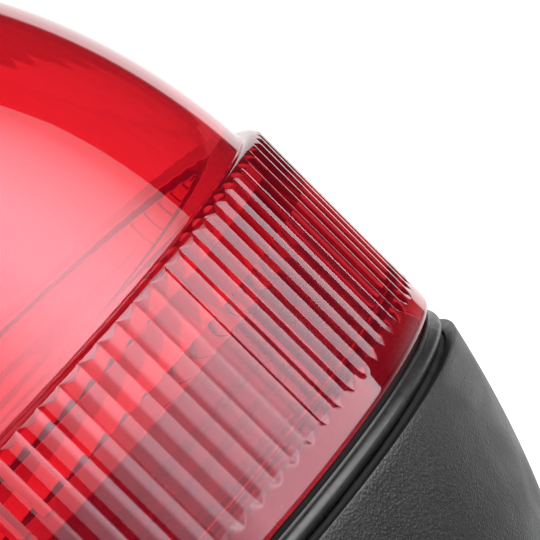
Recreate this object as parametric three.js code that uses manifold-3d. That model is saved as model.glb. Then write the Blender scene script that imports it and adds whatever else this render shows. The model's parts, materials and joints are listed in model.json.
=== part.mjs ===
// A battery barricade warning light: a red screw-on lens over a black bowl-shaped housing, which a
// saddle bracket with a hand screw clamps over a barricade's top rail.
// Millimetres, +Z up. The origin is on the ground under the lamp's axis, between the bracket's feet.
// The bracket's slot runs along Y, the clamp screw lies along X, and the switch faces +Y.

import * as THREE from 'three';
import { mergeVertices } from 'three/addons/utils/BufferGeometryUtils.js';
import Module from 'manifold-3d';

// ---------------------------------------------------------------- driving dimensions

const GAP = 0.3; // clearance left where two pieces meet
const ROUND = 36; // straight sides of a large ring, and of one turn of the screw thread

const LENS_R = 70; // crests of the flutes, shoulder and flange
const FLUTES = 105;
const FLUTE_DEPTH = 0.35;
const FLANGE_H = 3.9;
const FLUTED_H = 30.3;
const LENS_BAND_H = 35.6; // flange bottom to the foot of the dome
const LENS_BORE_R = 67.3; // around the thread
const LENS_BORE_H = 25;
const LENS_UPPER_R = 66.4; // inside the lens, above the thread's bore

const DOME_R = 67.5; // the dome is the top of an ellipsoid
const DOME_H = 81.2;
const DOME_SINK = 5.4; // its centre to the foot of the dome
const DOME_WALL = 1.7;

const HOUSING_R = 70.2;
const BOWL_DEPTH = 61;
const FOOT_R = 26;
const FOOT_H = 8;
const JOINT_H = 4.9; // housing rim to the lens flange

const THREAD_PITCH = 3.9;
const THREAD_ROOT_R = 65.8;
const THREAD_CREST_R = 66.9;
const THREAD_START = -220; // degrees about Z, where both threads begin
const COLLAR_TURNS = 4;
const LENS_TURNS = 1;
const COLLAR_H = 21.2; // lens flange to the collar's rim
const COLLAR_WALL = 3;

const SLOT_W = 54;
const SLOT_H = 48;
const STEEL_T = 4;
const BRACKET_Y = 50;
const CLAMP_Z = 19;
const CLAMP_SCREW_R = 4.9;

const CELL_R = 16.5; // D cell
const CELL_H = 59.5;
const CELL_OFFSET = 17.8;

// ---------------------------------------------------------------- levels, from the ground up

const PLATE_TOP = SLOT_H + STEEL_T;
const FOOT_Z = PLATE_TOP + 2;
const RIM_Z = FOOT_Z + FOOT_H + BOWL_DEPTH; // top edge of the housing
const FLANGE_Z = RIM_Z + JOINT_H; // underside of the lens
const CREASE_Z = FLANGE_Z + LENS_BAND_H; // foot of the dome
const DOME_Z = CREASE_Z - DOME_SINK;
const FLUTE_Z0 = FLANGE_Z + FLANGE_H;
const COLLAR_Z = FLANGE_Z + COLLAR_H; // collar's rim
const REFLECTOR_Z = COLLAR_Z - 1.8;
const WELL_Z = REFLECTOR_Z - 2.2;
const WELL_R = 49.6;
const LEDGE_Z = REFLECTOR_Z - 2.1;
const CAVITY_Z = FOOT_Z + 12; // floor of the housing's cavity
const CELL_Z = CAVITY_Z + 10;
const COVER_Z = CELL_Z + CELL_H + 1.5;
const BOARD_Z = COVER_Z + 2.8;

// ---------------------------------------------------------------- materials

function finish(color, roughness, metalness = 0) {
  return new THREE.MeshStandardMaterial({ color, roughness, metalness });
}

function redLens() {
  const material = finish(0xe0002a, 0.05);
  material.transparent = true;
  material.opacity = 0.55;
  return material;
}

const grainedBlack = () => finish(0x2e2e30, 0.6);
const satinBlack = () => finish(0x1c1c1e, 0.35);
const rubber = () => finish(0x101011, 0.85);
const whitePlastic = () => finish(0xf2f2f0, 0.35);
const steel = () => finish(0xb4b6b9, 0.35, 1);
const zinc = () => finish(0xc9ccd0, 0.3, 1);
const brass = () => finish(0xb8923f, 0.35, 1);
const board = () => finish(0x14532d, 0.5);
const ledEpoxy = () => finish(0xf7d774, 0.15);
const cellSleeve = () => finish(0x30343a, 0.4, 0.3);
const amberPlastic = () => finish(0xd8871c, 0.45);

// ---------------------------------------------------------------- solids, joins and cuts

const wasm = await Module();
wasm.setup();

function solidOf(geometry) {
  const bare = geometry.clone();
  bare.deleteAttribute('normal');
  bare.deleteAttribute('uv');
  const merged = mergeVertices(bare, 1e-4);
  const mesh = new wasm.Mesh({
    numProp: 3,
    vertProperties: merged.attributes.position.array,
    triVerts: new Uint32Array(merged.index.array),
  });
  return new wasm.Manifold(mesh);
}

function geometryOf(solid) {
  const mesh = solid.getMesh();
  const geometry = new THREE.BufferGeometry();
  geometry.setAttribute('position', new THREE.BufferAttribute(mesh.vertProperties, 3));
  geometry.setIndex(new THREE.BufferAttribute(mesh.triVerts, 1));
  geometry.computeVertexNormals();
  return geometry;
}

// Joins geometries, then cuts others away.
function combine(added, cut = []) {
  let solid = added.map(solidOf).reduce((sum, next) => sum.add(next));
  cut.forEach((geometry) => {
    solid = solid.subtract(solidOf(geometry));
  });
  return geometryOf(solid);
}

// Turns a half-profile of [radius, z] points, counter-clockwise, about the Z axis.
// A profile that doesn't touch the axis at both ends is closed on itself.
function turned(profile, segments) {
  const points = profile.map(([r, z]) => new THREE.Vector2(r, z));
  const onAxis = profile[0][0] === 0 && profile.at(-1)[0] === 0;
  if (!onAxis) points.push(points[0].clone());
  return new THREE.LatheGeometry(points, segments).rotateX(Math.PI / 2);
}

function disc(radius, z0, z1, segments = 24) {
  return turned([[0, z0], [radius, z0], [radius, z1], [0, z1]], segments);
}

function ring(inner, outer, z0, z1, segments = ROUND) {
  return turned([[inner, z0], [outer, z0], [outer, z1], [inner, z1]], segments);
}

function block(x0, x1, y0, y1, z0, z1) {
  const box = new THREE.BoxGeometry(x1 - x0, y1 - y0, z1 - z0);
  return box.translate((x0 + x1) / 2, (y0 + y1) / 2, (z0 + z1) / 2);
}

function arc(radius, centreZ, from, to, steps) {
  return Array.from({ length: steps + 1 }, (_, i) => {
    const a = from + ((to - from) * i) / steps;
    return [radius * Math.cos(a), centreZ + radius * Math.sin(a)];
  });
}

// A point on a circle of the given radius, at an angle in degrees.
function polar(radius, degrees) {
  const a = THREE.MathUtils.degToRad(degrees);
  return [radius * Math.cos(a), radius * Math.sin(a)];
}

function piece(name, geometry, material) {
  const mesh = new THREE.Mesh(geometry, material);
  mesh.name = name;
  return mesh;
}

function placed(mesh, x, y, z) {
  mesh.position.set(x, y, z);
  return mesh;
}

// ---------------------------------------------------------------- screw thread

// A right-handed helix about Z whose section keeps facing the axis.
class Helix extends THREE.Curve {
  constructor(radius, z0, turns) {
    super();
    Object.assign(this, { radius, z0, turns });
  }

  angle(t) {
    return THREE.MathUtils.degToRad(THREAD_START + t * this.turns * 360);
  }

  getPoint(t, target = new THREE.Vector3()) {
    const a = this.angle(t);
    const z = this.z0 + t * this.turns * THREAD_PITCH;
    return target.set(this.radius * Math.cos(a), this.radius * Math.sin(a), z);
  }

  getPointAt(t, target) {
    return this.getPoint(t, target);
  }

  computeFrenetFrames(segments) {
    const frames = { tangents: [], normals: [], binormals: [] };
    for (let i = 0; i <= segments; i += 1) {
      const a = this.angle(i / segments);
      frames.tangents.push(new THREE.Vector3(-Math.sin(a), Math.cos(a), 0));
      frames.normals.push(new THREE.Vector3(Math.cos(a), Math.sin(a), 0));
      frames.binormals.push(new THREE.Vector3(0, 0, -1));
    }
    return frames;
  }
}

// A trapezoid ridge from rootR to crestR, wound as a helix.
function ridge(rootR, crestR, z0, turns) {
  const halfRoot = 0.8;
  const halfCrest = 0.4;
  const height = crestR - rootR;
  const section = new THREE.Shape([
    new THREE.Vector2(0, -halfRoot),
    new THREE.Vector2(height, -halfCrest),
    new THREE.Vector2(height, halfCrest),
    new THREE.Vector2(0, halfRoot),
  ]);
  const path = new Helix(rootR, z0, turns);
  const steps = Math.round(turns * ROUND);
  return new THREE.ExtrudeGeometry(section, { steps, extrudePath: path, bevelEnabled: false });
}

// ---------------------------------------------------------------- lens

const SHOULDER_R = 1.9;
const FLANGE_EDGE_R = 1.3;
const DOME_SIDES = 48;
const COLLAR_THREAD_Z = FLANGE_Z + 2.9;
const LENS_THREAD_Z = COLLAR_THREAD_Z + THREAD_PITCH / 2;

function lensBand() {
  const edge = arc(FLANGE_EDGE_R, FLANGE_Z + FLANGE_EDGE_R, -Math.PI / 2, 0, 2);
  const shoulder = arc(SHOULDER_R, CREASE_Z - SHOULDER_R, 0, Math.PI / 2, 2);
  const profile = [
    [0, FLANGE_Z],
    ...edge.map(([r, z]) => [LENS_R - FLANGE_EDGE_R + r, z]),
    ...shoulder.map(([r, z]) => [LENS_R - SHOULDER_R + r, z]),
    [0, CREASE_Z],
  ];
  return turned(profile, FLUTES);
}

// The dome's profile from footZ up to its pole, set inwards from its outer surface.
function dome(inset, footZ, steps) {
  const radius = DOME_R - inset;
  const height = DOME_H - inset;
  const foot = Math.asin((footZ - DOME_Z) / height);
  const unit = arc(1, 0, foot, Math.PI / 2, steps).slice(0, -1);
  return [...unit.map(([r, z]) => [radius * r, DOME_Z + height * z]), [0, DOME_Z + height]];
}

function lensInside() {
  const profile = [
    [0, FLANGE_Z - 1],
    [LENS_BORE_R, FLANGE_Z - 1],
    [LENS_BORE_R, FLANGE_Z + LENS_BORE_H],
    [LENS_UPPER_R, FLANGE_Z + LENS_BORE_H + 0.9],
    [LENS_UPPER_R, CREASE_Z - 1.6],
    ...dome(DOME_WALL, CREASE_Z + 0.4, 6),
  ];
  return turned(profile, DOME_SIDES);
}

// Everything outside a ring of shallow V grooves, whose crests meet the lens's own corners.
function fluteCutter() {
  const outer = new THREE.Shape().absarc(0, 0, LENS_R + 2, 0, 2 * Math.PI);
  const star = Array.from({ length: 2 * FLUTES }, (_, i) => {
    const radius = i % 2 ? LENS_R - FLUTE_DEPTH : LENS_R + 0.05;
    return new THREE.Vector2(...polar(radius, (180 * i) / FLUTES - 90));
  });
  outer.holes.push(new THREE.Path(star));
  const cutter = new THREE.ExtrudeGeometry(outer, { depth: FLUTED_H, bevelEnabled: false });
  return cutter.translate(0, 0, FLUTE_Z0);
}

function lensDome() {
  const thread = ridge(LENS_BORE_R + GAP, THREAD_ROOT_R + 0.6, LENS_THREAD_Z, LENS_TURNS);
  const top = turned([[0, CREASE_Z - 1], ...dome(0, CREASE_Z - 1, 7)], DOME_SIDES);
  const shell = combine([lensBand(), top], [lensInside(), fluteCutter()]);
  return piece('lens_dome', combine([shell, thread]), redLens());
}

function lensSeal() {
  const seal = ring(67.1, 67.7, FLANGE_Z - 2.2, FLANGE_Z - GAP);
  return piece('lens_seal', seal, rubber());
}

// ---------------------------------------------------------------- collar

const COLLAR_BOTTOM = FLANGE_Z - 10.3;
const COLLAR_BORE = THREAD_ROOT_R - COLLAR_WALL;
const SEAT_R = 67.9; // outer wall of the groove that the lens seal sits in
const LIP_R = 68.8;
const BEAD_R = 1.3;
const BEAD_OUT = 69.4; // the bead's outermost radius
const INNER_FLANGE_R = 50;
const LEDGE_R = 57;
const COLLAR_SCREWS = [45, 135, 225, 315];
const COLLAR_SCREW_R = 58;
const REFLECTOR_SCREWS = [30, 150, 270];
const REFLECTOR_SCREW_R = 59.2;

function collar() {
  const spigotR = 65.4;
  const beadZ = FLANGE_Z - 2.6;
  const bead = arc(BEAD_R, beadZ, -Math.PI / 2, Math.PI / 3, 4);
  const profile = [
    [INNER_FLANGE_R, COLLAR_BOTTOM],
    [spigotR, COLLAR_BOTTOM],
    [spigotR, beadZ - BEAD_R],
    ...bead.map(([r, z]) => [BEAD_OUT - BEAD_R + r, z]),
    [LIP_R, FLANGE_Z - 0.95],
    [SEAT_R, FLANGE_Z - 0.95],
    [SEAT_R, FLANGE_Z - 2.5],
    [THREAD_ROOT_R, FLANGE_Z - 2.5],
    [THREAD_ROOT_R, COLLAR_Z],
    [COLLAR_BORE, COLLAR_Z],
    [COLLAR_BORE, LEDGE_Z],
    [LEDGE_R, LEDGE_Z],
    [LEDGE_R, LEDGE_Z - 3.6],
    [COLLAR_BORE, LEDGE_Z - 6.6],
    [COLLAR_BORE, COLLAR_BOTTOM + 3],
    [INNER_FLANGE_R, COLLAR_BOTTOM + 3],
  ];
  const body = turned(profile, ROUND);
  const thread = ridge(THREAD_ROOT_R - GAP, THREAD_CREST_R, COLLAR_THREAD_Z, COLLAR_TURNS);
  const holes = [
    ...COLLAR_SCREWS.map((at) => hole(2.4, COLLAR_SCREW_R, at, COLLAR_BOTTOM - 1, COLLAR_BOTTOM + 4)),
    ...REFLECTOR_SCREWS.map((at) => hole(1.6, REFLECTOR_SCREW_R, at, LEDGE_Z - 2.9, LEDGE_Z + 1)),
  ];
  return piece('collar', combine([body, thread], holes), satinBlack());
}

// An upright cylinder to drill with, on a circle about the lamp's axis.
function hole(radius, circleR, degrees, z0, z1) {
  return disc(radius, z0, z1, 12).translate(...polar(circleR, degrees), 0);
}

// A pan-headed screw that hangs from the origin: the head above, the shank below.
function panScrew(name, shankR, length, headR) {
  const headH = headR * 0.7;
  const recess = new THREE.CylinderGeometry(headR * 0.35, headR * 0.35, headH, 6).rotateX(Math.PI / 2);
  const profile = [
    [0, -length],
    [shankR, -length + shankR],
    [shankR, 0],
    [headR, 0],
    [headR, headH * 0.5],
    [headR * 0.7, headH],
    [0, headH],
  ];
  const screw = combine([turned(profile, 10)], [recess.translate(0, 0, headH)]);
  return piece(name, screw, zinc());
}

function collarScrews() {
  const z = COLLAR_BOTTOM + 3 + GAP;
  return COLLAR_SCREWS.map((at, i) => {
    const screw = panScrew(`collar_screw_${i + 1}`, 1.7, 13, 3.6);
    return placed(screw, ...polar(COLLAR_SCREW_R, at), z);
  });
}

// ---------------------------------------------------------------- housing

const HOUSING_MOUTH_R = 67.3;
const SWITCH_Z = RIM_Z - 24;
const SWITCH_FACE = 66.5; // outer face of the switch's boss
const SWITCH_R = 8; // its threaded barrel
const BOLT_X = 13;

function bowl(topR, upper, lower, foot) {
  const curve = new THREE.CubicBezierCurve(
    new THREE.Vector2(...foot),
    new THREE.Vector2(...lower),
    new THREE.Vector2(...upper),
    new THREE.Vector2(topR, RIM_Z),
  );
  return curve.getPoints(7).map((point) => point.toArray());
}

function alongY(geometry) {
  return geometry.rotateX(-Math.PI / 2);
}

function switchCylinder(radius, y0, y1, segments = 24) {
  return alongY(disc(radius, y0, y1, segments)).translate(0, 0, SWITCH_Z);
}

function housing() {
  const sides = 40;
  const outerBowl = bowl(HOUSING_R, [65, RIM_Z - 24], [52, RIM_Z - 58], [FOOT_R, FOOT_Z + FOOT_H]);
  const innerBowl = bowl(HOUSING_MOUTH_R, [61.8, RIM_Z - 24], [49, RIM_Z - 54.5], [22, CAVITY_Z]);
  const foot = [[0, FOOT_Z], [FOOT_R - 0.8, FOOT_Z], [FOOT_R, FOOT_Z + 0.8]];
  const mouth = [[HOUSING_MOUTH_R, RIM_Z + 2], [0, RIM_Z + 2]];
  const cavity = turned([[0, CAVITY_Z], ...innerBowl, ...mouth], sides);
  const bosses = COLLAR_SCREWS.map((at) => hole(4, COLLAR_SCREW_R, at, RIM_Z - 35, COLLAR_BOTTOM - GAP));
  const switchBoss = switchCylinder(12, 54, SWITCH_FACE);
  const cuts = [
    combine([cavity], [...bosses, switchBoss]),
    disc(68.3, RIM_Z - 1.5, RIM_Z + 1, sides),
    switchCylinder(SWITCH_R + GAP, 45, SWITCH_FACE + 5),
    ...COLLAR_SCREWS.map((at) => hole(2, COLLAR_SCREW_R, at, COLLAR_BOTTOM - 12, COLLAR_BOTTOM + 1)),
    ...[0, 180].map((at) => hole(4.3, BOLT_X, at, FOOT_Z - 1, FOOT_Z + 9)),
  ];
  const outside = turned([...foot, ...outerBowl, [0, RIM_Z]], sides);
  return piece('housing', combine([outside, switchBoss], cuts), grainedBlack());
}

function housingSeal() {
  return piece('housing_seal', ring(66.9, 68, RIM_Z - 1.2, RIM_Z + 0.7), rubber());
}

// ---------------------------------------------------------------- reflector and light column

function reflector() {
  const bottom = WELL_Z - 1.6;
  const profile = [
    [3.5, bottom],
    [WELL_R + 1.8, bottom],
    [WELL_R + 1.8, REFLECTOR_Z - 1.8],
    [COLLAR_BORE - 0.4, REFLECTOR_Z - 1.8],
    [COLLAR_BORE - 0.4, REFLECTOR_Z],
    [WELL_R, REFLECTOR_Z],
    [WELL_R, WELL_Z],
    [3.5, WELL_Z],
  ];
  const holes = REFLECTOR_SCREWS.map((at) => hole(1.6, REFLECTOR_SCREW_R, at, WELL_Z - 5, WELL_Z + 5));
  return piece('reflector', combine([turned(profile, ROUND)], holes), whitePlastic());
}

function reflectorLiner() {
  return piece('reflector_liner', ring(48, 49.2, WELL_Z + GAP, REFLECTOR_Z - 0.2), satinBlack());
}

function reflectorScrews() {
  return REFLECTOR_SCREWS.map((at, i) => {
    const screw = panScrew(`reflector_screw_${i + 1}`, 1.25, 4.2, 2.6);
    return placed(screw, ...polar(REFLECTOR_SCREW_R, at), REFLECTOR_Z + GAP);
  });
}

const COLUMN_R = 7; // across the corners
const COLUMN_H = 30;
const COLUMN_FACE = COLUMN_R * Math.cos(Math.PI / 6);

function lightColumn() {
  const hexagon = new THREE.CylinderGeometry(COLUMN_R, COLUMN_R, COLUMN_H, 6).rotateX(Math.PI / 2);
  hexagon.translate(0, 0, WELL_Z + GAP + COLUMN_H / 2);
  const stud = disc(3, BOARD_Z - 1, WELL_Z + 1, 16);
  return piece('light_column', combine([hexagon, stud]), whitePlastic());
}

// Each LED faces outwards from one face of the column.
function leds() {
  const profile = [[0, 0], [2.5, 0], [2.5, 1.2], [1.8, 2.8], [0, 3.4]];
  return Array.from({ length: 6 }, (_, i) => {
    const at = 60 * i;
    const led = piece(`led_${i + 1}`, turned(profile, 12).rotateY(Math.PI / 2), ledEpoxy());
    led.rotation.z = THREE.MathUtils.degToRad(at);
    return placed(led, ...polar(COLUMN_FACE + GAP, at), WELL_Z + 0.65 * COLUMN_H);
  });
}

function columnCap() {
  const z = WELL_Z + COLUMN_H + 2 * GAP;
  const cap = turned([[0, z], [9, z], [9, z + 1], [3, z + 4], [0, z + 4.4]], 24);
  return piece('column_cap', cap, whitePlastic());
}

function controlBoard() {
  const plate = combine([disc(38, BOARD_Z, BOARD_Z + 1.6, 32)], [disc(3.4, BOARD_Z - 1, BOARD_Z + 3, 16)]);
  return piece('control_board', plate, board());
}

function photocell() {
  const cell = piece('photocell', disc(3, WELL_Z + GAP, WELL_Z + 2.3, 16), amberPlastic());
  return placed(cell, ...polar(30, 120), 0);
}

// ---------------------------------------------------------------- batteries

const CELLS = [[1, 1], [-1, 1], [-1, -1], [1, -1]];

function batteryHolder() {
  const base = disc(34, CAVITY_Z + 4.3, CAVITY_Z + 6.3, 32);
  const boss = disc(10, CAVITY_Z + GAP, CAVITY_Z + 5, 24);
  const wallZ = CELL_Z + 0.9 * CELL_H;
  const walls = [
    block(-32, 32, -1, 1, CAVITY_Z + 5, wallZ),
    block(-1, 1, -32, 32, CAVITY_Z + 5, wallZ),
  ];
  return piece('battery_holder', combine([base, boss, ...walls]), satinBlack());
}

function dCells() {
  const profile = [
    [0, 0],
    [CELL_R, 0],
    [CELL_R, CELL_H - 1.5],
    [4.75, CELL_H - 1.5],
    [4.75, CELL_H],
    [0, CELL_H],
  ];
  return CELLS.map(([x, y], i) => {
    const cell = piece(`d_cell_${i + 1}`, turned(profile, 16), cellSleeve());
    return placed(cell, x * CELL_OFFSET, y * CELL_OFFSET, CELL_Z);
  });
}

// A conical contact spring of flat turns, standing on the origin.
class SpringLine extends THREE.Curve {
  getPoint(t, target = new THREE.Vector3()) {
    const a = t * 4 * Math.PI;
    const radius = 5 - 2 * t;
    return target.set(radius * Math.cos(a), radius * Math.sin(a), 0.5 + 1.3 * t);
  }
}

function contactSprings() {
  const corners = [0, 90, 180, 270].map((at) => new THREE.Vector2(...polar(0.4, at)));
  const wire = new THREE.Shape(corners);
  const options = { steps: 16, extrudePath: new SpringLine(), bevelEnabled: false };
  return CELLS.map(([x, y], i) => {
    const spring = piece(`contact_spring_${i + 1}`, new THREE.ExtrudeGeometry(wire, options), steel());
    return placed(spring, x * CELL_OFFSET, y * CELL_OFFSET, CELL_Z - 2.5);
  });
}

function contactPlates() {
  const z = CELL_Z + CELL_H + GAP;
  return [1, -1].map((side, i) => {
    const y = side * CELL_OFFSET;
    return piece(`contact_plate_${i + 1}`, block(-24, 24, y - 5, y + 5, z, z + 0.8), brass());
  });
}

function batteryCover() {
  const cover = combine([disc(42, COVER_Z, COVER_Z + 1.6, 32)], [disc(5, COVER_Z - 1, COVER_Z + 3, 16)]);
  return piece('battery_cover', cover, satinBlack());
}

// ---------------------------------------------------------------- switch

function switchBody() {
  const body = combine([switchCylinder(SWITCH_R, 45, SWITCH_FACE - 0.2)], [switchCylinder(6.6, 57, 70)]);
  return piece('switch_body', body, satinBlack());
}

function switchNut() {
  const nut = new THREE.CylinderGeometry(10.8, 10.8, 3, 6).translate(0, 51.7, SWITCH_Z);
  return piece('switch_nut', combine([nut], [switchCylinder(SWITCH_R + GAP, 45, 60)]), zinc());
}

function switchBezel() {
  const bezel = alongY(turned([[6.6, 0], [10.5, 0], [10.5, 1], [9.6, 2], [6.6, 2]], 20));
  return placed(piece('switch_bezel', bezel, satinBlack()), 0, SWITCH_FACE + GAP, SWITCH_Z);
}

function switchButton() {
  const profile = [[0, 0], [6.1, 0], [6.1, 8.8], [5.3, 9.6], [0, 9.9]];
  const button = alongY(turned(profile, 24));
  return placed(piece('switch_button', button, rubber()), 0, 60, SWITCH_Z);
}

// ---------------------------------------------------------------- bracket and clamp

const CLAMP_PITCH = 3;
const CLAMP_TURNS = 7.5; // from fully open to fully closed
const LEG_IN = SLOT_W / 2;
const LEG_OUT = LEG_IN + STEEL_T;

function alongX(geometry) {
  return geometry.rotateY(Math.PI / 2);
}

function clampCylinder(radius, x0, x1, segments = 24) {
  return alongX(disc(radius, x0, x1, segments)).translate(0, 0, CLAMP_Z);
}

// A flat strap bent into an upside-down U, with its legs' lower corners cut off.
function saddleBracket() {
  const innerBend = 2;
  const outerBend = innerBend + STEEL_T;
  const bendX = LEG_IN - innerBend;
  const bendZ = SLOT_H - innerBend;
  const outline = new THREE.Shape();
  outline.moveTo(-LEG_OUT, 0);
  outline.lineTo(-LEG_IN, 0);
  outline.lineTo(-LEG_IN, bendZ);
  outline.absarc(-bendX, bendZ, innerBend, Math.PI, Math.PI / 2, true);
  outline.lineTo(bendX, SLOT_H);
  outline.absarc(bendX, bendZ, innerBend, Math.PI / 2, 0, true);
  outline.lineTo(LEG_IN, 0);
  outline.lineTo(LEG_OUT, 0);
  outline.lineTo(LEG_OUT, bendZ);
  outline.absarc(bendX, bendZ, outerBend, 0, Math.PI / 2);
  outline.lineTo(-bendX, PLATE_TOP);
  outline.absarc(-bendX, bendZ, outerBend, Math.PI / 2, Math.PI);
  const options = { depth: BRACKET_Y, curveSegments: 4, bevelEnabled: false };
  const strap = new THREE.ExtrudeGeometry(outline, options).rotateX(Math.PI / 2);
  strap.translate(0, BRACKET_Y / 2, 0);
  const corner = 12;
  const corners = [-1, 1].map((side) => {
    const bar = block(-LEG_OUT - 1, LEG_OUT + 1, -corner / 2, corner / 2, -corner / 2, corner / 2);
    return bar.rotateX(Math.PI / 4).translate(0, (side * BRACKET_Y) / 2, 0);
  });
  const holes = [
    ...[0, 180].map((at) => hole(3.6, BOLT_X, at, SLOT_H - 1, PLATE_TOP + 1)),
    clampCylinder(CLAMP_SCREW_R + 0.7, LEG_IN - 1, LEG_OUT + 1),
  ];
  return piece('saddle_bracket', combine([strap], [...corners, ...holes]), steel());
}

function footGasket() {
  const holes = [0, 180].map((at) => hole(3.6, BOLT_X, at, PLATE_TOP, FOOT_Z));
  const pad = disc(FOOT_R - 0.6, PLATE_TOP + GAP, FOOT_Z - GAP, 32);
  return piece('foot_gasket', combine([pad], holes), rubber());
}

function bracketBolts() {
  return [-1, 1].flatMap((side, i) => {
    const washerZ = SLOT_H - 1.5;
    const headZ = washerZ - 4.3;
    const head = new THREE.CylinderGeometry(5.77, 5.77, 4, 6).rotateX(Math.PI / 2);
    const bolt = combine([head.translate(0, 0, headZ + 2), disc(3, headZ + 3, FOOT_Z + 8, 16)]);
    const pieces = [
      piece(`bracket_bolt_${i + 1}`, bolt, zinc()),
      piece(`bracket_washer_${i + 1}`, ring(3.4, 6.2, washerZ, SLOT_H - GAP, 24), zinc()),
      piece(`threaded_insert_${i + 1}`, ring(3.35, 3.95, FOOT_Z + 0.1, FOOT_Z + 8.7, 16), brass()),
    ];
    return pieces.map((mesh) => placed(mesh, side * BOLT_X, 0, 0));
  });
}

function jawPad() {
  const x = -LEG_IN + GAP;
  const grooves = [-12, -4, 4, 12].map((y) => block(x + 2.2, x + 4, y - 0.8, y + 0.8, 0, SLOT_H));
  return piece('jaw_pad', combine([block(x, x + 3, -20, 20, 5, 35)], grooves), rubber());
}

function clampNut() {
  const nut = alongX(new THREE.CylinderGeometry(8.5, 8.5, 6.7, 6).rotateX(Math.PI / 2));
  nut.translate(LEG_OUT + GAP + 3.35, 0, CLAMP_Z);
  return piece('clamp_nut', combine([nut], [clampCylinder(5.3, LEG_OUT, LEG_OUT + 10)]), zinc());
}

const PAD_X = LEG_IN - 3.5; // back of the swivel pad, with the clamp fully open
const KNOB_X = LEG_OUT + CLAMP_PITCH * CLAMP_TURNS + 1.5; // inner face, clear of the leg when closed

function clampScrew() {
  const screw = combine([
    clampCylinder(3.6, PAD_X - 2.9, PAD_X + 1),
    clampCylinder(CLAMP_SCREW_R, PAD_X + 0.5, KNOB_X + 11.7),
  ]);
  return piece('clamp_screw', screw, zinc());
}

function clampKnob() {
  const lobes = 5;
  const outline = Array.from({ length: 5 * lobes }, (_, i) => {
    const at = (360 * i) / (5 * lobes);
    return new THREE.Vector2(...polar(15.2 + 1.8 * Math.cos(THREE.MathUtils.degToRad(at * lobes)), at));
  });
  const options = { depth: 12, bevelThickness: 1, bevelSize: 1, bevelOffset: -1, bevelSegments: 1 };
  const star = alongX(new THREE.ExtrudeGeometry(new THREE.Shape(outline), options));
  star.translate(KNOB_X + 1, 0, CLAMP_Z);
  const cuts = [
    clampCylinder(10.2, KNOB_X - 1, KNOB_X + 7.5),
    clampCylinder(CLAMP_SCREW_R + GAP, KNOB_X, KNOB_X + 12),
  ];
  return piece('clamp_knob', combine([star], cuts), satinBlack());
}

function clampPad() {
  const pad = clampCylinder(13, PAD_X - 4, PAD_X);
  return piece('clamp_pad', combine([pad], [clampCylinder(4, PAD_X - 3.2, PAD_X + 1)]), zinc());
}

function padFacing() {
  return piece('pad_facing', clampCylinder(12.4, PAD_X - 6.8, PAD_X - 4 - GAP), rubber());
}

// ---------------------------------------------------------------- the lamp

const lamp = new THREE.Group();
lamp.add(
  lensDome(),
  lensSeal(),
  collar(),
  ...collarScrews(),
  housing(),
  housingSeal(),
  reflector(),
  reflectorLiner(),
  ...reflectorScrews(),
  lightColumn(),
  ...leds(),
  columnCap(),
  controlBoard(),
  photocell(),
  batteryHolder(),
  ...dCells(),
  ...contactSprings(),
  ...contactPlates(),
  batteryCover(),
  switchBody(),
  switchNut(),
  switchBezel(),
  switchButton(),
  saddleBracket(),
  footGasket(),
  ...bracketBolts(),
  jawPad(),
  clampNut(),
  clampScrew(),
  clampKnob(),
  clampPad(),
  padFacing(),
);

export default lamp;
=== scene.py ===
"""A battery barricade warning light: the fine surfaces, materials, camera and studio around its CAD frame.

Shapes are built in millimetres, in the CAD frame, and every mesh is written in metres.
"""

import json
import math
from math import acos, cos, pi, radians, sin, sqrt

import bmesh
import bpy
from mathutils import Matrix, Vector

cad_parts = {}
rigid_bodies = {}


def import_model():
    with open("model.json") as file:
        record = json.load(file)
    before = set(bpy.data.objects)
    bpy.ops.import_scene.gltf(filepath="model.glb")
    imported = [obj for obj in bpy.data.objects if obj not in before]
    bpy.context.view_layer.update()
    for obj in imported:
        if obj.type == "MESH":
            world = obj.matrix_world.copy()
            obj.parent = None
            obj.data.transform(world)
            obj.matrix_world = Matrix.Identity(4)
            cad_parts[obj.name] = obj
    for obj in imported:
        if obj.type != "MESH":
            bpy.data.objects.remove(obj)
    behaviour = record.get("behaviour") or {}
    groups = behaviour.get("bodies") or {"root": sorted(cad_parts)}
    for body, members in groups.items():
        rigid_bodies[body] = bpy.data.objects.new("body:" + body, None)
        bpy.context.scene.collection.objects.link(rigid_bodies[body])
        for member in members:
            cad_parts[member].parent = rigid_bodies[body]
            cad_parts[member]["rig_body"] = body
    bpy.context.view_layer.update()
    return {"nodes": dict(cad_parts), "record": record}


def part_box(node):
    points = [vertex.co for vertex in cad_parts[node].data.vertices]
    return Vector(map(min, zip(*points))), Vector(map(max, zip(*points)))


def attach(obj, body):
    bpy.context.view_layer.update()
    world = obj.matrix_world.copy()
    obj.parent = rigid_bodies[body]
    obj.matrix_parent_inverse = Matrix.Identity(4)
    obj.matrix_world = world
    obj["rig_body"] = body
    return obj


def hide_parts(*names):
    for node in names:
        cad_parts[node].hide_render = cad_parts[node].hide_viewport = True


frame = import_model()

MM = 0.001


def span(node):
    """Lowest and highest corner of a CAD node, in millimetres."""
    low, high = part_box(node)
    return [c / MM for c in low], [c / MM for c in high]


SLOT_OF = {row["node"]: row["material_slot"] for row in frame["record"]["subparts"]}
BODY_OF = {node: o["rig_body"] for node, o in frame["nodes"].items()}

# ---------------------------------------------------------------- sizes, in millimetres

(_, _, FLANGE_Z), (_, _, DOME_TOP) = span("lens_dome")
(_, _, COLLAR_BOTTOM), (BEAD_OUT, _, COLLAR_Z) = span("collar")
(_, _, FOOT_Z), (HOUSING_R, _, RIM_Z) = span("housing")
(_, _, REFLECTOR_BOTTOM), (REFLECTOR_R, _, REFLECTOR_Z) = span("reflector")
(_, PLATE_Y, _), (LEG_OUT, _, PLATE_TOP) = span("saddle_bracket")

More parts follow.
